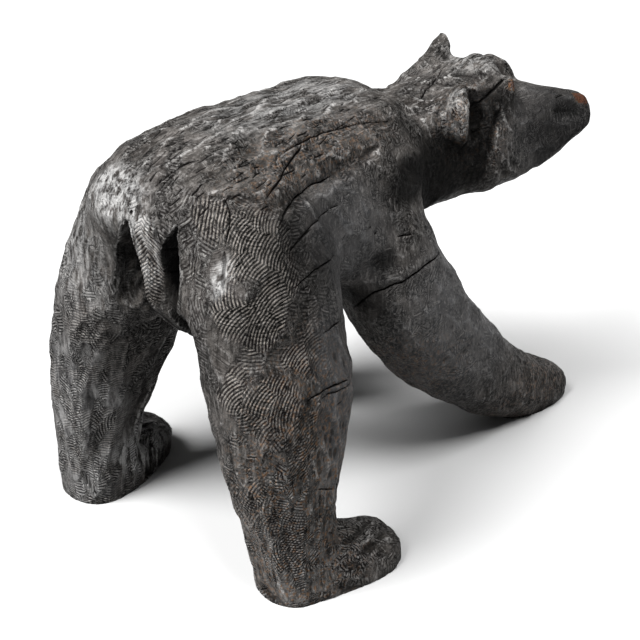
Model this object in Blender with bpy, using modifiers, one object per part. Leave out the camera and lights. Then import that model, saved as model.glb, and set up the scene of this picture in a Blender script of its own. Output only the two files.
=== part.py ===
"""A walking bear, carved with a chainsaw from one dark-stained log.

The bear walks towards -Y, so +X is its left side and +Z is up. All sizes are in metres. Body, legs, neck
and head are lofts through a few named sections. They are fused and smoothed where they run into each
other. Ears, brows, tail flap and feet are then fused on, grooves are cut, and the soles are sawn flat.
"""

import math

import bmesh
import bpy
from mathutils import Vector

NAME = "carved_bear"

RING_POINTS = 28          # corners of each loft section
RINGS_BETWEEN = 5         # extra sections between two named ones
BODY_VOXEL = 0.009        # grain of the first fusing of the limbs
BODY_BLEND_PASSES = 16    # smoothing that fills the corners between limbs
DETAIL_VOXEL = 0.006      # grain once ears, tail and feet are on
DETAIL_BLEND_PASSES = 3
HOLLOW_STEPS = 6          # sections of an egg-shaped cutter
CUTTING_TRIANGLES = 40000  # of the body while the saw cuts are made
MOST_TRIANGLES = 9000     # of the finished solid
GROUND_SIZE = 2.0         # of the block that trims the soles at z = 0
SLIVER = 0.0001

HEAD_TURN = math.radians(35)      # the head looks to the bear's right
AHEAD = Vector((-math.sin(HEAD_TURN), -math.cos(HEAD_TURN), 0.0))       # the way the muzzle points
HEAD_LEFT = Vector((math.cos(HEAD_TURN), -math.sin(HEAD_TURN), 0.0))    # towards the head's left ear
CROWN = Vector((-0.098, -0.425, 0.535))                                 # middle of the head at its ears

EAR_MIDDLE = 0.055        # height of an ear's front edge over the crown's middle
EAR_LEFT = 0.046          # from the crown's middle to the root of an ear
EAR_SPREAD = 0.018        # how much farther out an ear's front edge stands
EAR_HALF = 0.020          # half width of an ear at its root
EAR_RIDGE = [(-0.100, 0.004), (-0.070, 0.016), (-0.036, 0.039), (-0.012, 0.056), (0.000, 0.062)]
# The brows, 1 the left and -1 the right, from back to front: (ahead of the crown, height over it).
BROWS = {
    1: [(-0.055, 0.071), (-0.020, 0.074), (0.008, 0.074), (0.036, 0.073), (0.055, 0.047)],
    -1: [(-0.008, 0.067), (0.013, 0.067), (0.033, 0.067)],
}
BROW_LEFT = 0.044
BROW_SIZE = (0.020, 0.024)    # a brow's half width and half height

# Each section: (x, y, z) of its middle, half width across, half width the other way.
TORSO = [
    ((0.000, 0.250, 0.500), 0.095, 0.075),
    ((0.000, 0.236, 0.505), 0.122, 0.108),
    ((0.000, 0.195, 0.516), 0.142, 0.136),
    ((0.000, 0.100, 0.528), 0.158, 0.142),
    ((0.000, -0.060, 0.518), 0.162, 0.142),
    ((0.000, -0.165, 0.512), 0.160, 0.142),
    ((-0.006, -0.225, 0.508), 0.138, 0.126),
    ((-0.012, -0.270, 0.505), 0.100, 0.095),
]
NECK = [
    ((0.000, -0.190, 0.515), 0.110, 0.105),
    ((-0.020, -0.260, 0.514), 0.106, 0.099),
]
# The head's own sections: (distance ahead of the crown, height over it), half width, half height.
HEAD = [
    ((-0.086, -0.016), 0.096, 0.102),
    ((-0.010, 0.002), 0.094, 0.115),
    ((0.014, -0.002), 0.088, 0.106),
    ((0.035, -0.014), 0.079, 0.087),
    ((0.058, -0.021), 0.070, 0.076),
    ((0.085, -0.018), 0.062, 0.068),
    ((0.110, -0.016), 0.054, 0.060),
    ((0.140, -0.012), 0.043, 0.046),
    ((0.158, -0.006), 0.033, 0.031),
]
MUZZLE = [
    ((0.050, 0.010), 0.050, 0.056),
    ((0.085, 0.003), 0.054, 0.054),
    ((0.120, -0.003), 0.051, 0.051),
    ((0.150, -0.001), 0.045, 0.041),
    ((0.172, 0.004), 0.039, 0.030),
    ((0.184, 0.006), 0.033, 0.024),
]
RIGHT_HIND = [
    ((-0.065, 0.115, 0.600), 0.072, 0.105),
    ((-0.092, 0.130, 0.540), 0.095, 0.122),
    ((-0.130, 0.153, 0.455), 0.105, 0.131),
    ((-0.158, 0.160, 0.400), 0.089, 0.120),
    ((-0.180, 0.168, 0.340), 0.088, 0.116),
    ((-0.192, 0.178, 0.220), 0.075, 0.095),
    ((-0.196, 0.172, 0.120), 0.064, 0.075),
    ((-0.201, 0.158, -0.020), 0.060, 0.062),
]
LEFT_HIND = [
    ((0.060, 0.120, 0.600), 0.068, 0.095),
    ((0.080, 0.138, 0.540), 0.088, 0.110),
    ((0.110, 0.152, 0.450), 0.095, 0.116),
    ((0.155, 0.157, 0.350), 0.085, 0.116),
    ((0.190, 0.170, 0.220), 0.077, 0.095),
    ((0.210, 0.182, 0.120), 0.066, 0.074),
    ((0.215, 0.185, -0.020), 0.064, 0.062),
]
RIGHT_FORE = [
    ((-0.088, -0.115, 0.510), 0.072, 0.085),
    ((-0.110, -0.138, 0.420), 0.080, 0.090),
    ((-0.135, -0.172, 0.330), 0.080, 0.095),
    ((-0.155, -0.232, 0.235), 0.073, 0.091),
    ((-0.170, -0.300, 0.165), 0.067, 0.082),
    ((-0.180, -0.360, 0.108), 0.062, 0.074),
    ((-0.190, -0.430, 0.060), 0.058, 0.065),
    ((-0.200, -0.508, 0.026), 0.054, 0.051),
    ((-0.206, -0.558, 0.018), 0.042, 0.036),
]
LEFT_FORE = [
    ((0.090, -0.150, 0.520), 0.070, 0.100),
    ((0.112, -0.185, 0.420), 0.078, 0.095),
    ((0.128, -0.215, 0.300), 0.072, 0.080),
    ((0.136, -0.225, 0.180), 0.062, 0.068),
    ((0.140, -0.225, 0.080), 0.058, 0.060),
    ((0.142, -0.225, -0.020), 0.060, 0.062),
]
RIGHT_HIND_FOOT = [
    ((-0.186, 0.200, 0.030), 0.040, 0.034),
    ((-0.197, 0.174, 0.030), 0.060, 0.050),
    ((-0.212, 0.118, 0.018), 0.068, 0.052),
    ((-0.234, 0.060, 0.010), 0.066, 0.045),
    ((-0.248, 0.025, 0.008), 0.056, 0.037),
    ((-0.258, 0.002, 0.006), 0.036, 0.027),
]
LEFT_HIND_FOOT = [
    ((0.212, 0.226, 0.030), 0.050, 0.038),
    ((0.212, 0.195, 0.035), 0.066, 0.055),
    ((0.216, 0.145, 0.030), 0.066, 0.055),
    ((0.223, 0.100, 0.025), 0.060, 0.048),
    ((0.230, 0.060, 0.020), 0.050, 0.042),
    ((0.234, 0.035, 0.015), 0.034, 0.030),
]
LEFT_FORE_FOOT = [
    ((0.140, -0.185, 0.020), 0.045, 0.030),
    ((0.142, -0.215, 0.025), 0.060, 0.045),
    ((0.150, -0.255, 0.025), 0.060, 0.045),
    ((0.160, -0.295, 0.020), 0.050, 0.038),
    ((0.166, -0.320, 0.015), 0.032, 0.026),
]
TAIL_FLAP = [
    ((-0.020, 0.200, 0.620), 0.034, 0.020),
    ((-0.028, 0.236, 0.570), 0.030, 0.024),
    ((-0.026, 0.244, 0.500), 0.020, 0.026),
    ((-0.036, 0.230, 0.440), 0.014, 0.024),
    ((-0.046, 0.200, 0.385), 0.010, 0.020),
]
# The V-shaped saw cuts at the left and the right of the tail flap.
TAIL_CUTS = [
    [
        ((-0.009, 0.262, 0.590), 0.003, 0.012),
        ((0.008, 0.250, 0.540), 0.013, 0.036),
        ((0.020, 0.240, 0.495), 0.022, 0.045),
        ((0.026, 0.230, 0.460), 0.025, 0.045),
        ((0.020, 0.218, 0.430), 0.022, 0.042),
        ((0.002, 0.200, 0.395), 0.017, 0.036),
        ((-0.012, 0.185, 0.360), 0.012, 0.026),
    ],
    [
        ((-0.082, 0.262, 0.592), 0.003, 0.012),
        ((-0.076, 0.250, 0.555), 0.010, 0.034),
        ((-0.070, 0.245, 0.510), 0.014, 0.045),
        ((-0.066, 0.242, 0.460), 0.014, 0.045),
        ((-0.066, 0.232, 0.425), 0.013, 0.042),
        ((-0.062, 0.212, 0.385), 0.012, 0.032),
        ((-0.056, 0.195, 0.350), 0.010, 0.024),
    ],
]
# The gap between the thighs, from behind the rump forwards.
THIGH_GAP = [
    ((-0.040, 0.330, 0.365), 0.098, 0.130),
    ((-0.016, 0.215, 0.331), 0.086, 0.058),
    ((-0.010, 0.090, 0.325), 0.078, 0.056),
]
# Smaller hollows, in the head's directions: (ahead, left, up), half width, half height, half length.
EYE_HOLLOW = (0.026, 0.078, 0.050), 0.012, 0.012, 0.021
EAR_HOLLOW = (-0.043, 0.082, 0.058), 0.012, 0.032, 0.015


def smooth_between(a, b, c, d, t):
    """A Catmull-Rom curve from b to c, with t from 0 to 1."""
    return 0.5 * (
        2 * b + (c - a) * t + (2 * a - 5 * b + 4 * c - d) * t ** 2 + (3 * b - a - 3 * c + d) * t ** 3
    )


def fine_sections(sections):
    """The named sections with RINGS_BETWEEN more in each gap, as (middle, half across, half along)."""
    rows = [Vector((*middle, across, along)) for middle, across, along in sections]
    rows = [rows[0]] + rows + [rows[-1]]
    fine = []
    for i in range(1, len(rows) - 2):
        for k in range(RINGS_BETWEEN + 1):
            t = k / (RINGS_BETWEEN + 1)
            fine.append(smooth_between(rows[i - 1], rows[i], rows[i + 1], rows[i + 2], t))
    fine.append(rows[-2])
    return [(Vector(row[:3]), row[3], row[4]) for row in fine]


def add_limb(mesh, sections, side=Vector((1, 0, 0)), squareness=2.3, taper=0.0, upright=False):
    """Adds a closed loft of rounded sections, each square to the line through their middles.

    taper draws in a section's upper side and lets out its lower one. upright sections stay vertical.
    """
    fine = fine_sections(sections)
    rings = []
    for i, (middle, across, along) in enumerate(fine):
        before, after = fine[max(i - 1, 0)][0], fine[min(i + 1, len(fine) - 1)][0]
        tangent = after - before
        if upright:
            tangent.z = 0
        tangent.normalize()
        axis_a = (side - side.dot(tangent) * tangent).normalized()
        axis_b = tangent.cross(axis_a)
        ring = []
        for k in range(RING_POINTS):
            angle = 2 * math.pi * k / RING_POINTS
            c, s = math.cos(angle), math.sin(angle)
            u = math.copysign(abs(c) ** (2 / squareness), c) * across
            v = math.copysign(abs(s) ** (2 / squareness), s) * along
            u *= 1 - taper * v / along
            ring.append(mesh.verts.new(middle + u * axis_a + v * axis_b))
        rings.append(ring)
    for lower, upper in zip(rings, rings[1:]):
        for k in range(RING_POINTS):
            n = (k + 1) % RING_POINTS
            mesh.faces.new((lower[k], lower[n], upper[n], upper[k]))
    mesh.faces.new(reversed(rings[0]))
    mesh.faces.new(rings[-1])


def at_head(ahead, left, up):
    """A point given from the middle of the crown, in the head's own directions."""
    return CROWN + ahead * AHEAD + left * HEAD_LEFT + up * Vector((0, 0, 1))


def head_sections(sections):
    return [(at_head(ahead, 0, up), across, along) for (ahead, up), across, along in sections]


def add_ear(mesh, side, tip, out, front, width, taper, rounding=0.0):
    """A fin rising from the neck to an upright front edge; side is 1 for the left ear, -1 for the right.

    rounding shortens the front edge, which turns the fin into a disc.
    """
    ridge = [(front + back, half) for back, half in EAR_RIDGE]
    sections = []
    for ahead, half in ridge:
        rise = (ahead - ridge[0][0]) / (ridge[-1][0] - ridge[0][0])
        left = side * (EAR_LEFT + (EAR_SPREAD + out) * rise)
        middle = at_head(ahead, left, EAR_MIDDLE + tip * rise / 2)
        sections.append((middle, EAR_HALF + width * rise, half + tip * rise / 2))
    middle, across, high = sections[-1]
    sections[-1] = (middle, across, high - rounding)
    add_limb(mesh, sections, side=HEAD_LEFT, squareness=2.8, taper=taper, upright=True)


def add_hollow(mesh, hollow, side):
    """An egg-shaped cutter; side is 1 for the head's left, -1 for its right."""
    (ahead, left, up), across, high, long = hollow
    sections = []
    for step in range(HOLLOW_STEPS + 1):
        angle = math.pi * step / HOLLOW_STEPS
        size = max(math.sin(angle), 0.05)
        middle = at_head(ahead - long * math.cos(angle), side * left, up)
        sections.append((middle, across * size, high * size))
    add_limb(mesh, sections, side=HEAD_LEFT, squareness=2.0)


def object_of(name, mesh, collection):
    bmesh.ops.recalc_face_normals(mesh, faces=mesh.faces)
    data = bpy.data.meshes.new(name)
    mesh.to_mesh(data)
    mesh.free()
    made = bpy.data.objects.new(name, data)
    collection.objects.link(made)
    return made


def add_fusing(target, voxel, passes):
    fuse = target.modifiers.new("fuse", "REMESH")
    fuse.mode = "VOXEL"
    fuse.voxel_size = voxel
    blend = target.modifiers.new("blend", "SMOOTH")
    blend.factor = 0.5
    blend.iterations = passes


def add_cut(target, cutter):
    cutter.hide_render = True
    cutter.display_type = "WIRE"
    cut = target.modifiers.new(cutter.name, "BOOLEAN")
    cut.operation = "DIFFERENCE"
    cut.solver = "EXACT"
    cut.use_self = True
    cut.object = cutter


def apply_modifiers(target):
    """Puts the evaluated shape in the object's own mesh."""
    bpy.context.view_layer.update()
    graph = bpy.context.evaluated_depsgraph_get()
    shape = bpy.data.meshes.new_from_object(target.evaluated_get(graph))
    target.modifiers.clear()
    target.data = shape


def thin_to(target, most):
    """Thins the mesh to about this many triangles."""
    triangles = sum(len(face.vertices) - 2 for face in target.data.polygons)
    thin = target.modifiers.new("thin", "DECIMATE")
    thin.ratio = min(1.0, most / triangles)
    apply_modifiers(target)


def fused_body(parts):
    """Torso, neck, head and legs as one smooth form."""
    body = bmesh.new()
    add_limb(body, TORSO, squareness=2.6, taper=0.12)
    add_limb(body, NECK + head_sections(HEAD), side=HEAD_LEFT, squareness=2.5, taper=0.18, upright=True)
    for leg in (RIGHT_HIND, LEFT_HIND, RIGHT_FORE, LEFT_FORE):
        add_limb(body, leg)
    bear = object_of(NAME, body, parts)
    add_fusing(bear, BODY_VOXEL, BODY_BLEND_PASSES)
    apply_modifiers(bear)
    return bear


def add_details(bear):
    """Feet, tail flap, ears and brows, fused on with sharper joins than the limbs'."""
    detail = bmesh.new()
    detail.from_mesh(bear.data)
    for foot in (RIGHT_HIND_FOOT, LEFT_HIND_FOOT, LEFT_FORE_FOOT):
        add_limb(detail, foot, squareness=2.8)
    add_limb(detail, TAIL_FLAP)
    muzzle = head_sections(MUZZLE)
    add_limb(detail, muzzle, side=HEAD_LEFT, squareness=2.8, taper=0.12, upright=True)
    add_ear(detail, 1, tip=0.020, out=0.008, front=-0.041, width=0.014, taper=0.45)
    add_ear(detail, -1, tip=-0.018, out=0.020, front=-0.054, width=0.026, taper=0.0, rounding=0.017)
    for side in (1, -1):
        brow = [(at_head(ahead, side * BROW_LEFT, up), *BROW_SIZE) for ahead, up in BROWS[side]]
        add_limb(detail, brow, side=HEAD_LEFT)
    detail.to_mesh(bear.data)
    detail.free()
    add_fusing(bear, DETAIL_VOXEL, DETAIL_BLEND_PASSES)
    apply_modifiers(bear)


def cut_hollows(bear, cutters):
    """The saw cuts at the rump, and the hollows of eyes and ears."""
    cuts = bmesh.new()
    for cut in TAIL_CUTS:
        add_limb(cuts, cut, squareness=3.6, taper=0.8)
    add_limb(cuts, THIGH_GAP, squareness=3.6)
    for side in (1, -1):
        add_hollow(cuts, EYE_HOLLOW, side)
        add_hollow(cuts, EAR_HOLLOW, side)
    add_cut(bear, object_of("saw_cuts", cuts, cutters))
    apply_modifiers(bear)


def saw_soles(bear, cutters):
    """Trims the feet flat at z = 0."""
    ground = bmesh.new()
    bmesh.ops.create_cube(ground, size=GROUND_SIZE)
    bmesh.ops.translate(ground, verts=ground.verts, vec=(0, 0, -GROUND_SIZE / 2))
    add_cut(bear, object_of("ground_block", ground, cutters))
    apply_modifiers(bear)


def drop_slivers(bear):
    """Takes out the edges that the cuts left shorter than SLIVER."""
    mesh = bmesh.new()
    mesh.from_mesh(bear.data)
    bmesh.ops.dissolve_degenerate(mesh, dist=SLIVER, edges=mesh.edges)
    bmesh.ops.triangulate(mesh, faces=mesh.faces)
    mesh.to_mesh(bear.data)
    mesh.free()


def centre_on_origin(bear):
    """Moves the mesh so that its box stands on the origin."""
    corners = [Vector(corner) for corner in bear.bound_box]
    low = Vector(min(corner[i] for corner in corners) for i in range(3))
    high = Vector(max(corner[i] for corner in corners) for i in range(3))
    shift = Vector((-(low.x + high.x) / 2, -(low.y + high.y) / 2, 0))
    for vertex in bear.data.vertices:
        vertex.co += shift


def dark_wood():
    wood = bpy.data.materials.new("dark_stained_wood")
    wood.use_nodes = True
    shader = wood.node_tree.nodes["Principled BSDF"]
    shader.inputs["Base Color"].default_value = (0.045, 0.040, 0.036, 1)
    shader.inputs["Roughness"].default_value = 0.55
    shader.inputs["Metallic"].default_value = 0.0
    return wood


def main():
    for old in list(bpy.data.objects):
        bpy.data.objects.remove(old)
    parts, cutters = (bpy.data.collections.new(name) for name in ("chainsaw_carved_bear", "cutters"))
    for collection in (parts, cutters):
        bpy.context.scene.collection.children.link(collection)
    bear = fused_body(parts)
    add_details(bear)
    thin_to(bear, CUTTING_TRIANGLES)
    cut_hollows(bear, cutters)
    thin_to(bear, MOST_TRIANGLES)
    saw_soles(bear, cutters)
    drop_slivers(bear)
    centre_on_origin(bear)
    bear.data.materials.append(dark_wood())
    bear.data.shade_smooth()
    bear.data.set_sharp_from_angle(angle=math.radians(40))


main()
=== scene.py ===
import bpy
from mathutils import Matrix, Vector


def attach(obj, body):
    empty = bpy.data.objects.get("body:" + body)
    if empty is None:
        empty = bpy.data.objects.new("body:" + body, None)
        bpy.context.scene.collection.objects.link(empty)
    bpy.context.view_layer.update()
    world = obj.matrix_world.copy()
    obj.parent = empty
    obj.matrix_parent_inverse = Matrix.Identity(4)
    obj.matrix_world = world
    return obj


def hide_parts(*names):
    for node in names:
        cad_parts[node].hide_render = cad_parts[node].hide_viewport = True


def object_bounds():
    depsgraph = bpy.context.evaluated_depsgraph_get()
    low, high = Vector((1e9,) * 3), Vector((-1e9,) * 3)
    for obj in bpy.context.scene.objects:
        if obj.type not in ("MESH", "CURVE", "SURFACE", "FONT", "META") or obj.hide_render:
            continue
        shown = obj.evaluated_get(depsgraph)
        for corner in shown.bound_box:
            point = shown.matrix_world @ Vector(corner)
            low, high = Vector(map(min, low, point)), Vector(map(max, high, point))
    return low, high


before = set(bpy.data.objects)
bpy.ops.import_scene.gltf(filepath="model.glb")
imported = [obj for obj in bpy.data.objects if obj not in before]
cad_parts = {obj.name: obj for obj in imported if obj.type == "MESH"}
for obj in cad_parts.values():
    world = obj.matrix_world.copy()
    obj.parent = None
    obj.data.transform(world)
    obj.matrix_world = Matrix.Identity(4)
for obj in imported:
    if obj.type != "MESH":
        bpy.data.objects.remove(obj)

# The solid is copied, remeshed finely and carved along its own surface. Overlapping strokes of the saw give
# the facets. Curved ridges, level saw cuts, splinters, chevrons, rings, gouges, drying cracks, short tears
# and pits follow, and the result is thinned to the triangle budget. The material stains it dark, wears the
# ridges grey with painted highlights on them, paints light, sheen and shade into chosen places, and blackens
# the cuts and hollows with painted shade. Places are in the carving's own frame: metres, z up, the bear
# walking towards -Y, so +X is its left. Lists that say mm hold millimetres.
"""The looks of the chainsaw carved bear: the carved surface, its dark stain, a pale floor and soft light.

The solid is copied, remeshed finely and carved along its own surface. Overlapping strokes of the saw give
the facets. Curved ridges, level saw cuts, splinters, chevrons, rings, gouges, drying cracks, short tears
and pits follow, and the result is thinned to the triangle budget. The material stains it dark, wears the
ridges grey and blackens the cuts. Places are in the carving's own frame: metres, z up, the bear walking
towards -Y, so +X is its left. Lists that say mm hold millimetres.
"""

import math

import bmesh
import bpy
import numpy as np
from mathutils import Vector

MM = 0.001
NODE = "carved_bear"
SLOT = "dark_stained_wood"
CAD_LOW, CAD_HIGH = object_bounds()  # the solid's box, before anything is added
CARVING_LOW = Vector((-0.29939, -0.59380, 0.0))  # the same corner in the carving's own frame
SHIFT = np.array(CAD_LOW - CARVING_LOW)

VOXEL = 2.15 * MM  # grain of the fine copy
ROUNDING = 12  # rounds of smoothing that take the solid's flat triangles off
TRIANGLES = 194_000  # of the finished surface
rng = np.random.default_rng(7)  # every random draw comes from here, in a fixed order


# ---------------------------------------------------------------- numbers on points
def smoothstep(low, high, value):
    t = np.clip((value - low) / (high - low), 0, 1)
    return t * t * (3 - 2 * t)


def near(points, centre, radii, soft=0.3):
    """1 inside an ellipsoid, fading to 0 outside it."""
    reach = np.sqrt((((points - centre) / radii) ** 2).sum(1))
    return 1 - smoothstep(1 - soft, 1 + soft, reach)


def zones(points, rows):
    """The sum of soft ellipsoids, each given as strength, centre, radii, softness."""
    return sum(strength * near(points, centre, radii, soft) for strength, centre, radii, soft in rows)


def lattice(cell, seed):
    """A repeatable random number from 0 to 1 for each whole-number cell."""
    mixed = (cell[:, 0] * 73856093) ^ (cell[:, 1] * 19349663) ^ (cell[:, 2] * 83492791) ^ (seed * 2654435761)
    mixed = (mixed ^ (mixed >> 13)) * 1274126177
    return ((mixed ^ (mixed >> 16)) & 0xFFFF) / 65535.0


def noise(points, size, seed=0):
    """Smooth value noise from -1 to 1, with lumps about size metres across."""
    place = points / size + 1000.0
    cell = np.floor(place).astype(np.int64)
    t = place - cell
    t = t * t * (3 - 2 * t)
    total = np.zeros(len(points))
    for corner in range(8):
        offset = np.array([corner & 1, corner >> 1 & 1, corner >> 2 & 1])
        weight = np.prod(np.where(offset, t, 1 - t), axis=1)
        total += weight * lattice(cell + offset, seed)
    return total * 2 - 1


def fractal(points, size, seed=0, octaves=3):
    """Noise with finer and fainter noise added to it, from -1 to 1."""
    return sum(noise(points, size / 2**k, seed + k) / 2**k for k in range(octaves)) / (2 - 2 / 2**octaves)


def unit(vectors):
    return vectors / np.maximum(np.linalg.norm(vectors, axis=-1, keepdims=True), 1e-9)


# ---------------------------------------------------------------- meshes
def read(mesh):
    """(points in the carving's frame, normals) of a mesh."""
    points = np.empty(len(mesh.vertices) * 3, np.float32)
    normals = np.empty(len(mesh.vertices) * 3, np.float32)
    mesh.vertices.foreach_get("co", points)
    mesh.vertex_normals.foreach_get("vector", normals)
    return points.reshape(-1, 3).astype(float) - SHIFT, normals.reshape(-1, 3).astype(float)


def write(mesh, points):
    mesh.vertices.foreach_set("co", (points + SHIFT).astype(np.float32).ravel())
    mesh.update()


def set_values(mesh, **fields):
    """Stores one number for each vertex under each name, for the material to read."""
    for name, values in fields.items():
        layer = mesh.attributes.get(name) or mesh.attributes.new(name, "FLOAT", "POINT")
        layer.data.foreach_set("value", values.astype(np.float32))


def edges_of(mesh):
    ends = np.empty(len(mesh.edges) * 2, np.int32)
    mesh.edges.foreach_get("vertices", ends)
    return ends.reshape(-1, 2)


def blurred(values, ends, rounds, keep=0.5):
    """Each vertex's value mixed with the mean of its neighbours, again and again."""
    count = np.bincount(ends.ravel(), minlength=len(values))
    values = values.reshape(len(values), -1)
    for _ in range(rounds):
        mean = np.empty_like(values)
        for axis in range(values.shape[1]):
            column = values[:, axis]
            mean[:, axis] = np.bincount(ends[:, 0], column[ends[:, 1]], len(values))
            mean[:, axis] += np.bincount(ends[:, 1], column[ends[:, 0]], len(values))
        values = values * keep + mean / np.maximum(count, 1)[:, None] * (1 - keep)
    return values.squeeze()


INWARD_KEEP, OUTWARD_KEEP = 0.45, 1.58  # one smoothing step shrinks the shape, the next swells it back


def smoothed(points, ends, rounds):
    """Rounds the solid's flat triangles off without shrinking it."""
    for _ in range(rounds):
        points = blurred(points, ends, 1, INWARD_KEEP)
        points = blurred(points, ends, 1, OUTWARD_KEEP)
    return points


def with_modifier(piece, kind, **settings):
    """Gives the piece the mesh that a modifier makes of it."""
    modifier = piece.modifiers.new(kind.title(), kind)
    for name, value in settings.items():
        setattr(modifier, name, value)
    graph = bpy.context.evaluated_depsgraph_get()
    mesh = bpy.data.meshes.new_from_object(piece.evaluated_get(graph))
    piece.modifiers.clear()
    old, piece.data = piece.data, mesh
    bpy.data.meshes.remove(old)
    return mesh


def subdivide(piece, chosen):
    """Halves the edges between the chosen vertices."""
    mesh = piece.data
    for other in bpy.context.selected_objects:
        other.select_set(False)
    piece.select_set(True)
    bpy.context.view_layer.objects.active = piece
    ends = edges_of(mesh)
    mesh.vertices.foreach_set("select", chosen)
    mesh.edges.foreach_set("select", chosen[ends].all(axis=1))
    corners = np.empty(len(mesh.loops), np.int32)
    mesh.loops.foreach_get("vertex_index", corners)
    starts = np.empty(len(mesh.polygons), np.int32)
    mesh.polygons.foreach_get("loop_start", starts)
    mesh.polygons.foreach_set("select", np.logical_and.reduceat(chosen[corners], starts))
    bpy.ops.object.mode_set(mode="EDIT")
    bpy.ops.mesh.subdivide(number_cuts=1, smoothness=0)
    bpy.ops.object.mode_set(mode="OBJECT")


def drop_fins(mesh, rounds=3):
    """Takes away the faces that hang on the closed surface by one edge, which thinning can leave."""
    shape = bmesh.new()
    shape.from_mesh(mesh)
    for _ in range(rounds):
        fins = {face for edge in shape.edges if len(edge.link_faces) == 1 for face in edge.link_faces}
        bmesh.ops.delete(shape, geom=list(fins), context="FACES")
    shape.to_mesh(mesh)
    shape.free()


# ---------------------------------------------------------------- strokes of the saw
TRIES = 12  # points tried for each one wanted


def scatter(points, spacing, most):
    """Indices of points at least their own spacing apart, drawn at random."""
    chosen = []
    kept = np.empty((most, 3))
    for index in rng.permutation(len(points))[: most * TRIES]:
        if len(chosen) == most:
            break
        gap = kept[: len(chosen)] - points[index]
        if not len(chosen) or (gap * gap).sum(1).min() > spacing[index] ** 2:
            kept[len(chosen)] = points[index]
            chosen.append(index)
    return np.array(chosen)


BLOCK = 50 * MM  # size of the groups that lowest() works through
BOWL_REACH = 150 * MM  # no bowl is the lowest one farther than this from its centre


def blocks(points):
    """The points' indices, in groups that lie close together."""
    cell = np.floor(points / BLOCK).astype(np.int64)
    cell -= cell.min(0)
    key = np.ravel_multi_index(cell.T, cell.max(0) + 1)
    order = np.argsort(key, kind="stable")
    return np.split(order, np.flatnonzero(np.diff(key[order])) + 1)


def lowest(points, normals, centres, rows, facing):
    """(value, index) of the lowest of many quadratic bowls at each point.

    rows holds each bowl as 10 factors of x2 y2 z2 xy xz yz x y z 1 about its own centre. facing is
    how much a bowl rises for points whose normals turn away from its own.
    """
    middle = centres.mean(0)
    shifted = centres - middle
    a, b, c, d, e, f, g, h, i, j = rows.T
    x, y, z = shifted.T
    rows = np.stack([
        a, b, c, d, e, f,
        g - 2 * a * x - d * y - e * z,
        h - 2 * b * y - d * x - f * z,
        i - 2 * c * z - e * x - f * y,
        j + a * x * x + b * y * y + c * z * z + d * x * y + e * x * z + f * y * z - g * x - h * y - i * z,
    ], axis=1)
    rows = np.concatenate([rows, -facing], axis=1)
    value = np.empty(len(points))
    index = np.empty(len(points), np.int32)
    for block in blocks(points):
        p, n = points[block] - middle, normals[block]
        centre = p.mean(0)
        radius = np.linalg.norm(p - centre, axis=1).max()
        close = np.flatnonzero(np.linalg.norm(shifted - centre, axis=1) < radius + BOWL_REACH)
        terms = np.concatenate([
            p * p, p[:, [0]] * p[:, [1]], p[:, [0]] * p[:, [2]], p[:, [1]] * p[:, [2]], p,
            np.ones((len(p), 1)), n,
        ], axis=1)
        table = terms @ rows[close].T
        lowest_of_all = table.argmin(1)
        index[block] = close[lowest_of_all]
        value[block] = table[np.arange(len(p)), lowest_of_all]
    return value, index


def bowl_rows(along, across, normal, length, width, depth, tilt, lift):
    """Gouge strokes as quadratic bowls: depth deep, length x width across at the rim, tilted end to end."""
    def outer(v, size):
        s = (depth / size**2)[:, None]
        return np.concatenate([v * v, 2 * v[:, [0]] * v[:, [1]], 2 * v[:, [0]] * v[:, [2]],
                               2 * v[:, [1]] * v[:, [2]]], axis=1) * s
    square = outer(along, length) + outer(across, width) + outer(normal, width * 0.9)
    slope = along * (tilt * depth / length)[:, None]
    return np.concatenate([square, slope, (lift - depth)[:, None]], axis=1)


# Where each kind of stroke lies: centre, radii, direction, half length, half width, depth (mm)
STROKES = (
    ("back", (-0.010, 0.020, 0.665), (0.125, 0.235, 0.060), (0.10, -1.0, 0.0), 20, 9, 1.7),
    ("muzzle", (-0.175, -0.500, 0.545), (0.075, 0.085, 0.080), (-0.35, -0.9, 0.1), 17, 10, 0.8),
    ("head", (-0.110, -0.385, 0.580), (0.120, 0.130, 0.120), (-0.3, -0.5, -0.8), 12, 5, 0.8),
    ("foreleg", (-0.180, -0.260, 0.260), (0.100, 0.260, 0.270), (0.0, -0.75, -0.65), 15, 11, 1.0),
    ("far foreleg", (0.140, -0.200, 0.200), (0.100, 0.200, 0.230), (0.0, -0.3, -0.95), 14, 9, 1.1),
    ("left leg", (0.150, 0.200, 0.170), (0.110, 0.160, 0.230), (0.10, 0.15, -1.0), 32, 9.5, 2.0),
    ("left rump", (0.100, 0.200, 0.480), (0.140, 0.160, 0.130), (0.4, 0.3, -0.8), 15, 10, 1.3),
    ("right shin", (-0.220, 0.240, 0.130), (0.050, 0.070, 0.150), (0.05, 0.18, -1.0), 70, 13, 2.0),
    ("right foot", (-0.230, 0.080, 0.050), (0.080, 0.150, 0.070), (0.0, -0.9, -0.3), 16, 9, 1.2),
    ("right leg", (-0.230, 0.150, 0.240), (0.090, 0.150, 0.170), (0.0, -0.2, -1.0), 15, 7.5, 1.4),
    ("thigh", (-0.180, 0.170, 0.460), (0.110, 0.140, 0.190), (0.0, 0.3, -0.95), 26, 17, 1.7),
)
OTHERWISE = ("the rest", None, None, (0.0, -0.6, -0.8), 21, 12, 1.2)
# Two sizes of stroke: length and width, depth, spacing (all times the table's), and the most of them
BROAD = (2.3, 3.3, 1.25, 1500)
MEDIUM = (1.0, 1.4, 1.15, 9000)
HEADING_WANDER = 0.22
SIZE_RANGE, DEPTH_RANGE = (0.8, 1.25), (0.6, 1.3)  # from stroke to stroke, times the table's
TILT_RANGE, LIFT_RANGE = (-0.5, 0.9), (-0.25, 0.35)  # in the stroke's own depths
TURN_AWAY = 1.5  # how much a stroke rises where the surface turns away from it, in its own depths

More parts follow.
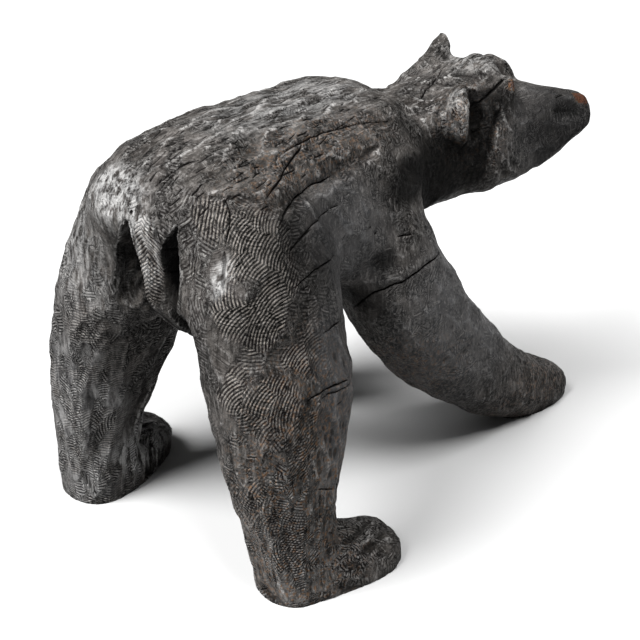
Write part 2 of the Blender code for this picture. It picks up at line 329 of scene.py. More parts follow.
SAW_PITCH = 5.0 * MM  # of the fine lines that the chain leaves across each stroke
SAW_ARC = 70 * MM  # their radius
SAW_TURN = 0.5  # how far they turn from the stroke, in radians


def strokes(points, normals, scale, depth_scale, spacing_scale, most):
    """(height, count of saw lines, tone) of the gouge strokes, all of one size class."""
    kind = np.full(len(points), len(STROKES))
    for k, (_, centre, radii, *_) in reversed(list(enumerate(STROKES))):
        kind[(((points - centre) / radii) ** 2).sum(1) < 1] = k
    table = STROKES + (OTHERWISE,)
    length = np.array([row[4] for row in table]) * MM * scale
    width = np.array([row[5] for row in table]) * MM * scale
    depth = np.array([row[6] for row in table]) * MM * depth_scale
    heading = unit(np.array([row[3] for row in table], float))
    spacing = np.sqrt(length * width) * spacing_scale
    seeds = scatter(points, spacing[kind], most)
    kind = kind[seeds]
    normal = unit(normals[seeds])
    wander = rng.normal(0, HEADING_WANDER, (len(seeds), 3))
    along = heading[kind] + wander
    along = unit(along - (along * normal).sum(1, keepdims=True) * normal)
    across = np.cross(normal, along)
    size = rng.uniform(*SIZE_RANGE, len(seeds))
    depth = depth[kind] * rng.uniform(*DEPTH_RANGE, len(seeds))
    tilt = rng.uniform(*TILT_RANGE, len(seeds))
    lift = depth * rng.uniform(*LIFT_RANGE, len(seeds))
    rows = bowl_rows(along, across, normal, length[kind] * size, width[kind] * size, depth, tilt, lift)
    facing = normal * (TURN_AWAY * depth)[:, None]
    rows[:, 9] += TURN_AWAY * depth
    height, index = lowest(points, normals, points[seeds], rows, facing)
    turn = rng.normal(0, SAW_TURN, (len(seeds), 1))
    ahead = along * np.cos(turn) + across * np.sin(turn)
    aside = across * np.cos(turn) - along * np.sin(turn)
    place = points - points[seeds][index]
    count = (place * ahead[index]).sum(1) + (place * aside[index]).sum(1) ** 2 / (2 * SAW_ARC)
    return np.minimum(height, 0), count / SAW_PITCH, rng.random(len(seeds))[index]


# ---------------------------------------------------------------- ribs and other fine cuts
RIB_DEPTH = 2.0  # of all the patterns in this section (mm)
# Chain-saw ribs: the bar swung in short arcs, which climb the thigh
RIB_PITCH = 4.7 * MM
RIB_ARC = 60 * MM
RIB_RISE = unit(np.array([0.80, 0.39, 0.43]))  # the way the bar worked, across the ribs
RIB_SCALLOPS = (36 * MM, 400)  # their spacing, and the most of them
# The same of the left hind leg, where the cuts lie level
LEFT_PITCH = 4.6 * MM
LEFT_ARC = 120 * MM
LEFT_RISE = unit(np.array([0.15, 0.10, 1.0]))
LEFT_SCALLOPS = (40 * MM, 200)
RISE_WANDER = 0.20
# Small zones with a pattern of their own: centre, radii, softness
FLAP = ((-0.036, 0.272, 0.520), (0.026, 0.022, 0.075), 0.2)
FLAP_RIDGE = -0.032  # x of the line that the chevrons meet on
CHEVRON_PITCH = 6.5 * MM
STRIPES = ((-0.122, 0.225, 0.603), (0.036, 0.020, 0.034), 0.3)
STRIPE_PITCH = 5 * MM
STRIPE_WAY = (0.83, 0.55, 0.10)
SPLINTERS = ((0.014, 0.220, 0.475), (0.034, 0.045, 0.090), 0.3)
SPLINTER_ROOT = (-0.012, 0.640)  # x and z of the point that they fan out from
SPLINTERS_PER_RADIAN = 22
EAR_RINGS = (-0.142, -0.293, 0.607)  # their centre, on the right ear
RING_PITCH = 5 * MM
RING_REACH = (22 * MM, 14 * MM)  # where the rings have faded out, and where they are full


def ridges(count, middle=0.62):
    """The profile of parallel cuts, for a count of them: above 0 in a valley, below 0 on a ridge."""
    return middle - np.abs(np.sin(np.pi * count))


def rib_count(points, normals, pitch, arc, rise, scallops):
    """The ribs' count at each point: arcs about a centre that changes from scallop to scallop."""
    spacing, most = scallops
    seeds = scatter(points, np.full(len(points), spacing), most)
    normal = unit(normals[seeds])
    heading = rise + rng.normal(0, RISE_WANDER, (len(seeds), 3))
    heading = unit(heading - (heading * normal).sum(1, keepdims=True) * normal)
    across = np.cross(normal, heading)
    ones = np.ones(len(seeds))
    rows = bowl_rows(heading, across, normal, ones * 1.1, ones, ones, ones * 0, ones)  # nearly round cells
    _, index = lowest(points, normals, points[seeds], rows, normal * 0.0005)
    centre = points[seeds] - heading * arc
    reach = np.linalg.norm(points - centre[index], axis=1) - arc
    return (reach + (points[seeds] @ rise)[index]) / pitch


def rib_field(points, normals):
    """Where the chain-saw ribs are strong, 0 to 1."""
    thigh = near(points, (-0.185, 0.190, 0.455), (0.105, 0.125, 0.185), 0.25)
    thigh *= smoothstep(-0.22, 0.08, fractal(points, 48 * MM, 31, 2))
    shank = near(points, (-0.225, 0.200, 0.190), (0.075, 0.110, 0.170), 0.25)
    shank *= 0.6 * smoothstep(-0.05, 0.35, fractal(points, 55 * MM, 33, 2))
    facing = smoothstep(0.15, 0.50, normals @ unit(np.array([-0.25, 0.92, 0.2])))
    return np.maximum(thigh, shank) * facing


def left_rib_field(points, normals):
    """Where the level saw cuts of the left hind leg are strong, 0 to 1."""
    zone = near(points, (0.150, 0.230, 0.200), (0.110, 0.110, 0.250), 0.2)
    facing = smoothstep(0.0, 0.4, normals @ unit(np.array([-0.1, 1.0, 0.0])))
    return zone * facing * 0.6 * smoothstep(-0.10, 0.25, fractal(points, 45 * MM, 35, 2))


def splinter_field(points):
    """How deep a point lies in the splinters that run down the saw cut left of the tail, with their count."""
    root_x, root_z = SPLINTER_ROOT
    angle = np.arctan2(points[:, 0] - root_x, root_z - points[:, 2])
    return near(points, *SPLINTERS), angle * SPLINTERS_PER_RADIAN + 0.3 * noise(points, 30 * MM, 57)


def chevron_count(points):
    slope = 0.9 * np.abs(points[:, 0] - FLAP_RIDGE)
    return (points[:, 2] + slope) / CHEVRON_PITCH + 0.5 * noise(points, 20 * MM, 51)


def fine_cuts(points, normals):
    """How deep all the ribs and small patterns are at each point: above 0 in a valley, below 0 on a ridge."""
    rib = np.zeros(len(points))
    ribs = rib_field(points, normals)
    chosen = np.flatnonzero(ribs > 0.01)
    count = rib_count(points[chosen], normals[chosen], RIB_PITCH, RIB_ARC, RIB_RISE, RIB_SCALLOPS)
    rib[chosen] = ridges(count) * ribs[chosen]
    left = left_rib_field(points, normals)
    chosen = np.flatnonzero(left > 0.01)
    count = rib_count(points[chosen], normals[chosen], LEFT_PITCH, LEFT_ARC, LEFT_RISE, LEFT_SCALLOPS)
    rib[chosen] += ridges(count) * left[chosen]
    split, count = splinter_field(points)
    rib += ridges(count, 0.6) * split * 0.6
    reach = np.linalg.norm(points - EAR_RINGS, axis=1)
    rib += 0.5 * ridges(reach / RING_PITCH, 0.5) * smoothstep(*RING_REACH, reach)
    rib += ridges(chevron_count(points)) * near(points, *FLAP) * (1 - ribs)
    count = (points @ STRIPE_WAY) / STRIPE_PITCH + 0.3 * noise(points, 15 * MM, 53)
    return rib + ridges(count, 0.55) * near(points, *STRIPES) * (1 - ribs)


# ---------------------------------------------------------------- grooves and pits
def curve_through(path, step=4 * MM):
    """A smooth line through the path's points, every few millimetres."""
    path = np.array(path, float)
    ends = np.concatenate([[2 * path[0] - path[1]], path, [2 * path[-1] - path[-2]]])
    made = []
    for a, b, c, d in zip(ends, ends[1:], ends[2:], ends[3:]):
        for t in np.linspace(0, 1, max(2, int(np.linalg.norm(c - b) / step)), endpoint=False):
            made.append(0.5 * (2 * b + (c - a) * t + (2 * a - 5 * b + 4 * c - d) * t * t
                               + (3 * b - a - 3 * c + d) * t**3))
    return np.array(made + [path[-1]])


GROOVE_REACH = 11 * MM  # how far off the surface a path may lie
GROOVE_MARGIN = 12 * MM  # how far from its path a groove is looked for, at least
WANDER_SIZE, WIDTH_SIZE, WIDTH_CHANGE = 13 * MM, 9 * MM, 0.35  # of a groove's bends, and of its width


def groove(points, normals, path, half_width, wander=1.2 * MM, seed=0):
    """(how far into a groove each point is, 0 to 1; indices), for the points near a path on the surface."""
    line = curve_through(path)
    line = line + np.stack([noise(line, WANDER_SIZE, seed + k) for k in range(3)], axis=1) * wander
    margin = max(GROOVE_MARGIN, 1.4 * half_width)
    low, high = line.min(0) - margin, line.max(0) + margin
    close = np.flatnonzero(((points > low) & (points < high)).all(1))
    p, n = points[close], normals[close]
    best = np.full(len(close), 1.0)
    at = np.zeros(len(close))
    for k, (a, b) in enumerate(zip(line, line[1:])):
        t = np.clip((p - a) @ (b - a) / ((b - a) @ (b - a)), 0, 1)
        q = p - a - t[:, None] * (b - a)
        lift = (q * n).sum(1)
        side = np.sqrt(np.maximum((q * q).sum(1) - lift * lift, 0))
        side += np.maximum(np.abs(lift) - GROOVE_REACH, 0)
        better = side < best
        best[better], at[better] = side[better], ((k + t) / (len(line) - 1))[better]
    taper = np.minimum(1, 5 * np.minimum(at, 1 - at) + 0.25)
    width = half_width * taper * (1 + WIDTH_CHANGE * noise(p, WIDTH_SIZE, seed + 5))
    return np.clip(1 - best / width, 0, 1), close


def in_metres(rows):
    """The rows below, whose paths are in millimetres, with each path in metres."""
    return [(half_width, depth, np.array(path) * MM) for half_width, depth, path in rows]


# Drying cracks: half width, depth (mm), and places along each (mm, in the carving's frame)
CRACKS = in_metres((
    # along the top of the back: on its middle, by its right edge, and turning down the right side
    (1.5, 4.0, ((5, 100, 670), (30, -50, 660), (50, -140, 650))),
    (1.3, 4.0, ((-100, 65, 640), (-95, -50, 640), (-110, -160, 620))),
    (1.5, 4.5, ((-100, 25, 640), (-125, 95, 625), (-145, 145, 615))),
    # the top and the right side of the rump
    (1.4, 3.5, ((-30, 245, 630), (-40, 210, 650), (-50, 180, 655))),
    (1.1, 2.5, ((-115, 200, 625), (-135, 210, 610), (-145, 230, 580))),
    # the upper flank
    (1.5, 4.5, ((-140, 0, 595), (-150, 85, 600), (-175, 160, 585))),
    (1.2, 3.0, ((-180, 100, 560), (-195, 160, 555))),
    (1.0, 2.5, ((-150, 0, 555), (-175, 80, 565), (-190, 135, 560))),
    (1.2, 3.0, ((-190, 60, 510), (-210, 130, 520), (-215, 185, 515))),
    # the right shoulder: one long split round the top of the foreleg, one short above it
    (1.8, 5.0, ((-185, -205, 410), (-195, -150, 410), (-190, -105, 400), (-160, -70, 385), (-120, -65, 345))),
    (1.2, 3.0, ((-175, -105, 470), (-180, -135, 465))),
    # across the back of the left hind leg
    (1.2, 3.0, ((120, 265, 350), (150, 262, 350), (180, 250, 355))),
    (1.1, 3.0, ((140, 265, 245), (170, 260, 240), (200, 245, 245))),
    # the outside of the right thigh, and of the shank below it
    (1.2, 3.5, ((-220, 80, 430), (-235, 145, 440))),
    (1.4, 3.5, ((-250, 100, 355), (-265, 160, 370), (-260, 205, 370))),
    (1.0, 2.5, ((-250, 95, 345), (-265, 155, 360), (-260, 190, 360))),
    (1.2, 3.0, ((-260, 145, 190), (-265, 185, 215))),
    # the head: over the crown, along the muzzle, and from the right brow back to the ear
    (1.6, 4.0, ((-40, -410, 630), (-50, -370, 625), (-60, -330, 615), (-70, -290, 605))),
    (0.9, 2.0, ((-190, -500, 575), (-190, -530, 575))),
    (2.2, 4.5, ((-145, -420, 625), (-145, -375, 610), (-135, -350, 595))),
))
# Wide gouges of a round tool, in the same terms
GOUGES = in_metres((
    # along the right hind foot
    (13.0, 4.0, ((-245, 110, 65), (-240, 65, 55), (-230, 20, 45))),
    (9.0, 2.6, ((-270, 105, 50), (-268, 60, 45), (-262, 30, 40))),
    # down the back of the right shank
    (10.0, 3.0, ((-210, 260, 235), (-215, 255, 140), (-215, 230, 40))),
    (7.0, 2.4, ((-235, 250, 210), (-240, 240, 130), (-245, 215, 50))),
    # the right side of the nose, and the long hollow along the right side of the back
    (7.0, 1.8, ((-200, -490, 560), (-215, -520, 555))),
    (21.0, 5.0, ((-100, 205, 620), (-150, 135, 600), (-150, 35, 600), (-135, -110, 605))),
    # in front of the right ear, down the cheek, and across the head before the ear
    (14.0, 7.0, ((-125, -355, 620), (-135, -352, 575), (-145, -335, 540))),
    (11.0, 4.0, ((-165, -385, 590), (-160, -368, 560), (-160, -360, 520))),
    (9.0, 2.5, ((-75, -365, 630), (-105, -375, 630), (-125, -390, 630))),
    # the right side of the rump
    (6.0, 3.0, ((-145, 235, 570), (-160, 257, 530))),
))
# Knots and holes: centre, radius, depth (mm)
PITS = (
    ((-10, 173, 660), 4.0, 5.0),
    ((-10, 272, 597), 3.0, 4.0),
    ((-163, -54, 500), 2.2, 3.5),
    ((-164, -67, 485), 2.2, 3.5),
    ((-158, -48, 506), 1.8, 3.0),
)
CRACK_WIDTH, CRACK_DEPTH = 1.2, 1.3  # what the lists' sizes are multiplied by
TEARS = 150  # short splits along the grain, where the saw lifted fibres
TEAR_HALF_WIDTH, TEAR_DEPTH, TEAR_WANDER = 1.4, 2.4, 0.8  # mm
FLANK = 0.8  # power that makes a crack's sides steep near its rim


def tear_paths(points, normals):
    """Where the short tears run: along the grain, mostly on the back and the rump."""
    wanted = (near(points, (-0.02, 0.06, 0.66), (0.13, 0.26, 0.08)) * smoothstep(0.4, 0.8, normals[:, 2])
              + 0.25 * near(points, (-0.10, 0.20, 0.60), (0.12, 0.10, 0.09))
              + 0.02 * near(points, (-0.20, 0.12, 0.30), (0.12, 0.16, 0.25)))
    starts = rng.choice(len(points), TEARS, p=wanted / wanted.sum(), replace=False)
    paths = []
    for start in starts:
        normal = unit(normals[start])
        along = np.array([rng.normal(0.05, 0.13), -1.0, rng.normal(0, 0.1)])
        along = unit(along - along @ normal * normal)
        side = np.cross(normal, along)
        half = rng.uniform(5, 15) * MM
        bend = rng.normal(0, 0.08) * half
        middle = points[start]
        paths.append([middle - along * half, middle + side * bend, middle + along * half])
    return paths


# ---------------------------------------------------------------- the carved surface
SMOOTH = (  # where the fine unevenness is weaker: strength, centre, radii, softness
    (1.0, (-0.190, -0.500, 0.540), (0.070, 0.080, 0.080), 0.3),  # muzzle
    (0.8, (-0.170, 0.010, 0.480), (0.070, 0.110, 0.120), 0.4),  # right flank
    (0.8, (-0.260, 0.130, 0.380), (0.030, 0.060, 0.160), 0.4),  # front of the right thigh
)
UNEVEN_SIZE, UNEVEN_DEPTH = 11 * MM, 0.75  # of the fine unevenness everywhere (depth in mm)
SOLE_TOP = 0.6 * MM  # what lies below this before the cuts stays flat on the floor
SOLE_BAND = 2.5 * MM  # what lies below this and faces down gets no cuts
CRACK_ROOM, PIT_ROOM = 2.5, 4  # mm round each where the mesh is made finer


def fine_copy():
    """A fine, rounded copy of the solid, with its soles kept flat."""
    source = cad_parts[NODE]
    piece = bpy.data.objects.new("carved_bear_surface", source.data.copy())
    bpy.context.scene.collection.objects.link(piece)
    piece.data.materials.clear()
    mesh = with_modifier(piece, "REMESH", mode="VOXEL", voxel_size=VOXEL, adaptivity=0)
    points, _ = read(mesh)
    sole = points[:, 2] < SOLE_TOP
    points = smoothed(points, edges_of(mesh), ROUNDING)
    points[sole, 2] = 0
    write(mesh, points)
    return piece


def needs_finer_mesh(points, normals, tears):
    """Which points lie at ribs, patterns, cracks, tears or pits."""
    wanted = (rib_field(points, normals) > 0.05) | (left_rib_field(points, normals) > 0.05)
    wanted |= splinter_field(points)[0] > 0.1
    wanted |= near(points, *FLAP) > 0.05
    wanted |= near(points, *STRIPES) > 0.05
    lines = [(half_width, path) for half_width, _, path in CRACKS] + [(1.0, path) for path in tears]
    for half_width, path in lines:
        inside, close = groove(points, normals, path, (half_width + CRACK_ROOM) * MM)
        wanted[close[inside > 0]] = True
    for centre, radius, _ in PITS:
        wanted |= ((points / MM - centre) ** 2).sum(1) < (radius + PIT_ROOM) ** 2
    return wanted


def cut_cracks(points, normals, tears, height):
    """Cuts cracks, tears and pits into height, and returns how deep in one each point is, 0 to 1."""
    crack = np.zeros(len(points))
    for k, (half_width, depth, path) in enumerate(CRACKS):
        inside, close = groove(points, normals, path, CRACK_WIDTH * half_width * MM, seed=k)
        height[close] -= inside**FLANK * CRACK_DEPTH * depth * MM
        crack[close] = np.maximum(crack[close], inside)
    for k, path in enumerate(tears):
        inside, close = groove(points, normals, path, TEAR_HALF_WIDTH * MM, TEAR_WANDER * MM, seed=40 + k)
        height[close] -= inside**FLANK * TEAR_DEPTH * MM
        crack[close] = np.maximum(crack[close], inside * 0.9)
    for centre, radius, depth in PITS:
        hole = np.exp(-((points / MM - centre) ** 2).sum(1) / radius**2)
        height -= hole * depth * MM
        crack = np.maximum(crack, smoothstep(0.2, 0.8, hole))
    return crack


def carve():
    """The carved surface, thinned, with what the material needs stored on its vertices."""
    piece = fine_copy()
    points, normals = read(piece.data)
    tears = tear_paths(points, normals)
    subdivide(piece, needs_finer_mesh(points, normals, tears))
    mesh = piece.data
    points, normals = read(mesh)
    ends = edges_of(mesh)

    broad, _, broad_tone = strokes(points, normals, *BROAD)
    medium, count, tone = strokes(points, normals, *MEDIUM)
    tone = 0.35 * broad_tone + 0.65 * tone
    height = broad + medium * (0.75 + 0.25 * noise(points, 45 * MM, 3))
    unevenness = fractal(points, UNEVEN_SIZE, 11, 3)
    height += unevenness * (1 - 0.7 * zones(points, SMOOTH)) * UNEVEN_DEPTH * MM
    rib = fine_cuts(points, normals)
    height -= rib * RIB_DEPTH * MM
    for k, (half_width, depth, path) in enumerate(GOUGES):
        inside, close = groove(points, normals, path, half_width * MM, seed=80 + k)
        height[close] -= smoothstep(0, 1, inside) * depth * MM
    # how far each point stands over its wider and its nearer surroundings, before the cracks
    ridge = 0.7 * (height - blurred(height, ends, 40)) + 1.6 * (height - blurred(height, ends, 8))
    crack = cut_cracks(points, normals, tears, height)

    sole = (points[:, 2] < SOLE_BAND) & (normals[:, 2] < -0.6)
    height[sole] = 0
    points = points + normals * height[:, None]
    points[sole, 2] = 0
    low, high = np.array(CAD_LOW) - SHIFT, np.array(CAD_HIGH) - SHIFT
    write(mesh, np.clip(points, low, high))
    set_values(mesh, ridge=ridge / MM, rib=rib, crack=crack, count=count, tone=tone)

    faces = sum(len(polygon.vertices) - 2 for polygon in mesh.polygons)
    mesh = with_modifier(piece, "DECIMATE", ratio=TRIANGLES / faces, use_collapse_triangulate=True)
    drop_fins(mesh)
    mesh.polygons.foreach_set("use_smooth", np.ones(len(mesh.polygons), bool))
    points, _ = read(mesh)
    write(mesh, np.clip(points, low, high))
    return piece


# ---------------------------------------------------------------- regions of colour
# Each row: strength, centre, radii, softness
# painted light: places made paler as if lit and glinting, on the rump, tail flap, back, crown, ear, shanks
# and left hind foot
PAINTED_LIGHT = (
    (0.85, (0.040, 0.260, 0.605), (0.062, 0.035, 0.045), 0.45),  # rump above the tail
    (1.0, (-0.030, 0.270, 0.545), (0.024, 0.030, 0.055), 0.4),  # tail flap
    (0.8, (-0.155, 0.250, 0.545), (0.014, 0.020, 0.036), 0.4),  # right side of the rump
    (0.5, (0.130, 0.230, 0.470), (0.070, 0.060, 0.090), 0.5),  # left thigh
    (0.4, (-0.010, -0.060, 0.665), (0.070, 0.160, 0.030), 0.5),  # top of the back
    (0.35, (-0.085, -0.420, 0.640), (0.050, 0.040, 0.020), 0.5),  # crown
    (0.6, (-0.140, -0.310, 0.600), (0.022, 0.030, 0.040), 0.5),  # right ear
    (0.4, (0.150, 0.260, 0.140), (0.100, 0.060, 0.200), 0.5),  # back of the left shank
    (0.3, (-0.240, 0.220, 0.130), (0.060, 0.080, 0.130), 0.5),  # back of the right shank
    (2.2, (0.165, 0.115, 0.080), (0.050, 0.070, 0.050), 0.5),  # left hind foot
)
BROWN = (
    (1.0, (-0.235, 0.190, 0.180), (0.080, 0.110, 0.230), 0.5),  # right hind leg
    (0.5, (-0.120, 0.020, 0.630), (0.060, 0.160, 0.040), 0.5),  # right edge of the back
    (0.6, (-0.140, -0.330, 0.560), (0.050, 0.060, 0.070), 0.5),  # below the right ear
    (2.5, (-0.210, -0.555, 0.570), (0.016, 0.016, 0.016), 0.3),  # tip of the nose
    (1.5, (-0.160, -0.415, 0.615), (0.010, 0.012, 0.010), 0.4),  # right brow
    (0.5, (-0.200, -0.430, 0.060), (0.080, 0.120, 0.060), 0.5),  # right forefoot
    (0.6, (-0.170, -0.150, 0.215), (0.060, 0.120, 0.080), 0.5),  # underside of the right foreleg
)
# painted shade: places where the stain is darkened as if in shadow, under the ear and head, by the neck and
# shoulder, in the armpit, on the muzzle, thigh and flank, and beside the tail flap
PAINTED_SHADE = (
    (1.0, (-0.130, -0.260, 0.500), (0.040, 0.050, 0.085), 0.5),  # side of the neck
    (1.0, (-0.150, -0.165, 0.535), (0.035, 0.065, 0.035), 0.5),  # above the shoulder
    (1.0, (-0.210, -0.510, 0.560), (0.016, 0.022, 0.009), 0.4),  # side of the nose
    (1.0, (-0.140, -0.345, 0.555), (0.028, 0.030, 0.090), 0.4),  # in front of the right ear
    (0.8, (-0.150, -0.380, 0.590), (0.028, 0.040, 0.034), 0.5),  # under the right brow
    (0.6, (-0.135, -0.300, 0.500), (0.050, 0.060, 0.050), 0.5),  # under the right ear
    (0.5, (-0.100, -0.370, 0.630), (0.030, 0.016, 0.014), 0.5),  # band across the crown
    (0.8, (-0.170, -0.080, 0.440), (0.030, 0.020, 0.020), 0.5),  # behind the shoulder
    (0.7, (-0.140, -0.065, 0.370), (0.045, 0.035, 0.030), 0.5),  # armpit
    (0.3, (-0.215, 0.180, 0.440), (0.090, 0.120, 0.150), 0.5),  # right thigh
    (0.8, (-0.065, 0.250, 0.515), (0.013, 0.030, 0.062), 0.3),  # right edge of the tail flap
    (0.7, (0.035, 0.245, 0.495), (0.022, 0.030, 0.075), 0.4),  # left of the left saw cut
    (0.70, (-0.195, -0.500, 0.535), (0.080, 0.085, 0.080), 0.5),  # muzzle
    (0.45, (-0.180, 0.095, 0.560), (0.060, 0.110, 0.080), 0.5),  # upper flank
)
# painted shade down the two saw cuts beside the tail flap: its radii, softness and strength
SLOT_RADII, SLOT_SOFT, SLOT_PAINTED_SHADE = (0.020, 0.030, 0.045), 0.35, 0.9
SLOTS = (  # places down the two saw cuts beside the tail flap
    (0.000, 0.225, 0.545), (0.020, 0.215, 0.490), (0.020, 0.205, 0.430),
    (-0.075, 0.230, 0.560), (-0.070, 0.220, 0.505), (-0.065, 0.210, 0.440),
)
# sleek places: smoother, and given a painted bluish sheen in their colour
SLEEK_AND_SHEEN = (
    (1.0, (-0.170, 0.020, 0.480), (0.070, 0.110, 0.120), 0.4),  # right flank
    (1.0, (-0.250, 0.130, 0.330), (0.040, 0.050, 0.160), 0.4),  # front of the right hind leg
    (0.6, (-0.190, -0.480, 0.535), (0.080, 0.090, 0.080), 0.4),  # muzzle
    (1.0, (-0.190, -0.260, 0.300), (0.080, 0.160, 0.160), 0.4),  # right foreleg
    (0.9, (0.160, 0.250, 0.150), (0.100, 0.070, 0.200), 0.5),  # left hind leg
)
SAWN = (
    (1.0, (0.140, 0.230, 0.180), (0.120, 0.160, 0.260), 0.3),  # left hind leg
    (0.8, (-0.220, 0.190, 0.150), (0.100, 0.190, 0.180), 0.4),  # right hind leg
)
SAWN_ELSEWHERE = 0.35
NOT_SAWN = ((-0.260, 0.150, 0.330), (0.030, 0.060, 0.170), 0.5)  # front of the right thigh


def mark_regions(mesh):
    """Stores on the mesh where light and shade are painted, how brown, sleek (with a painted sheen) or
    saw-marked each place is, and how level.
    """
    points, normals = read(mesh)
    slot_shade = sum(near(points, centre, SLOT_RADII, SLOT_SOFT) for centre in SLOTS)
    dark = zones(points, PAINTED_SHADE) + SLOT_PAINTED_SHADE * slot_shade
    saw = zones(points, SAWN) + SAWN_ELSEWHERE - near(points, *NOT_SAWN)
    set_values(mesh, bright=zones(points, PAINTED_LIGHT), brown=zones(points, BROWN), dark=np.clip(dark, 0, 1),
               sleek=np.clip(zones(points, SLEEK_AND_SHEEN), 0, 1), saw=np.clip(saw, 0, 1), up=normals[:, 2])


# ---------------------------------------------------------------- materials
class Nodes:
    """Short calls for building one material's nodes."""

    def __init__(self, name):
        self.material = bpy.data.materials.new(name)
        self.material.use_nodes = True
        self.tree = self.material.node_tree
        self.shader = self.tree.nodes["Principled BSDF"]
        self.place = self.tree.nodes.new("ShaderNodeTexCoord").outputs["Object"]

    def put(self, socket, value):
        """Links another node's output to the socket, or sets the socket to a plain value."""
        if isinstance(value, bpy.types.NodeSocket):
            self.tree.links.new(value, socket)
        else:
            socket.default_value = value

    def attribute(self, name):
        node = self.tree.nodes.new("ShaderNodeAttribute")
        node.attribute_name = name
        return node.outputs["Fac"]

    def stretched(self, scale):
        node = self.tree.nodes.new("ShaderNodeMapping")
        self.put(node.inputs["Vector"], self.place)
        node.inputs["Scale"].default_value = scale
        return node.outputs["Vector"]

    def noise(self, size, detail, rough, place=None):
        node = self.tree.nodes.new("ShaderNodeTexNoise")
        self.put(node.inputs["Vector"], place or self.place)
        node.inputs["Scale"].default_value = 1 / size
        node.inputs["Detail"].default_value = detail
        node.inputs["Roughness"].default_value = rough
        return node.outputs["Fac"]

    def math(self, kind, a, b=0.0, clamp=False):
        node = self.tree.nodes.new("ShaderNodeMath")
        node.operation = kind
        node.use_clamp = clamp
        self.put(node.inputs[0], a)
        self.put(node.inputs[1], b)
        return node.outputs[0]

    def times(self, a, b, clamp=False):
        return self.math("MULTIPLY", a, b, clamp)

    def most(self, a, b):
        return self.math("MAXIMUM", a, b)

    def spread(self, value, low, high, out_low=0.0, out_high=1.0):
        """Smoothstep of the value from low to high, on to out_low to out_high."""
        node = self.tree.nodes.new("ShaderNodeMapRange")
        node.interpolation_type = "SMOOTHSTEP"
        self.put(node.inputs["Value"], value)
        node.inputs["From Min"].default_value = low
        node.inputs["From Max"].default_value = high
        node.inputs["To Min"].default_value = out_low
        node.inputs["To Max"].default_value = out_high
        return node.outputs["Result"]

    def mix(self, share, a, b):
        """Colour a, with this share of colour b."""
        node = self.tree.nodes.new("ShaderNodeMix")
        node.data_type = "RGBA"
        self.put(node.inputs["Factor"], share)
        for socket, value in ((node.inputs[6], a), (node.inputs[7], b)):
            self.put(socket, value if isinstance(value, bpy.types.NodeSocket) else (*value, 1))
        return node.outputs[2]

    def blend(self, share, a, b):
        """Number a, with this share of number b."""
        node = self.tree.nodes.new("ShaderNodeMix")
        node.data_type = "FLOAT"
        for socket, value in zip((node.inputs["Factor"], node.inputs[2], node.inputs[3]), (share, a, b)):
            self.put(socket, value)
        return node.outputs[0]

    def scaled(self, colour, factor):
        node = self.tree.nodes.new("ShaderNodeVectorMath")
        node.operation = "SCALE"
        self.put(node.inputs[0], colour)
        self.put(node.inputs["Scale"], factor)
        return node.outputs[0]

    def together(self, x, y, z):
        node = self.tree.nodes.new("ShaderNodeCombineXYZ")
        for socket, value in zip(node.inputs, (x, y, z)):
            self.put(socket, value)
        return node.outputs[0]

    def bump(self, height, distance, below=None):
        node = self.tree.nodes.new("ShaderNodeBump")
        self.put(node.inputs["Height"], height)
        node.inputs["Distance"].default_value = distance
        if below is not None:
            self.put(node.inputs["Normal"], below)
        return node.outputs["Normal"]


# Colours of the stain, as linear red, green and blue
DEEP_STAIN = (0.0050, 0.0044, 0.0040)
THIN_STAIN = (0.0210, 0.0193, 0.0180)
BUNDLE_GREY = (0.060, 0.056, 0.052)
FIBRE_GREY = (0.150, 0.145, 0.140)
# painted sheen: bluish greys standing in for the sleek places' reflection, the second on their ridges, where
# it also serves as wear
PAINTED_SHEEN_GREY = (0.040, 0.0405, 0.0425)
RIM_WEAR_AND_SHEEN = (0.075, 0.077, 0.082)
# worn grey, which also serves as painted highlight on the ridges
WORN_AND_HIGHLIGHT_GREY = (0.20, 0.195, 0.19)
SAW_LINE_GREY = (0.110, 0.106, 0.102)
SCRATCH_GREY = (0.12, 0.115, 0.11)
# painted highlight, put where the places are marked as lit
PAINTED_HIGHLIGHT_GREY = (0.28, 0.278, 0.275)
# painted highlight on the crests of the ribs
RIB_CREST_HIGHLIGHT = (0.100, 0.089, 0.079)
RUBBED_BROWN = (0.085, 0.045, 0.021)
RED_BROWN = (0.075, 0.030, 0.017)
# painted shade in the cuts and hollows, and the black of splits and pores
SHADE_AND_SPLIT_BLACK = (0.0008, 0.0007, 0.0006)
FIBRE_SIZE, BUNDLE_SIZE, MOTTLE_SIZE, SPECKLE_SIZE = 4.2 * MM, 9 * MM, 40 * MM, 5.5 * MM
SCRATCHES_PER_LINE, SCRATCH_JUMP, SCRATCH_DRIFT = 2.2, 60.0, 1.5  # steps in the scratches' own noise
WOOD_SPECULAR = 0.05


def grain(made, size, on_sides, on_top, rough):
    """Noise drawn out along the grain: upright on the bear's sides, lengthwise on its top."""
    level = made.spread(made.attribute("up"), 0.35, 0.75)
    return made.blend(level, made.noise(size, 2, rough, made.stretched((1, 1, on_sides))),
                      made.noise(size, 2, rough, made.stretched((1, on_top, 1))))


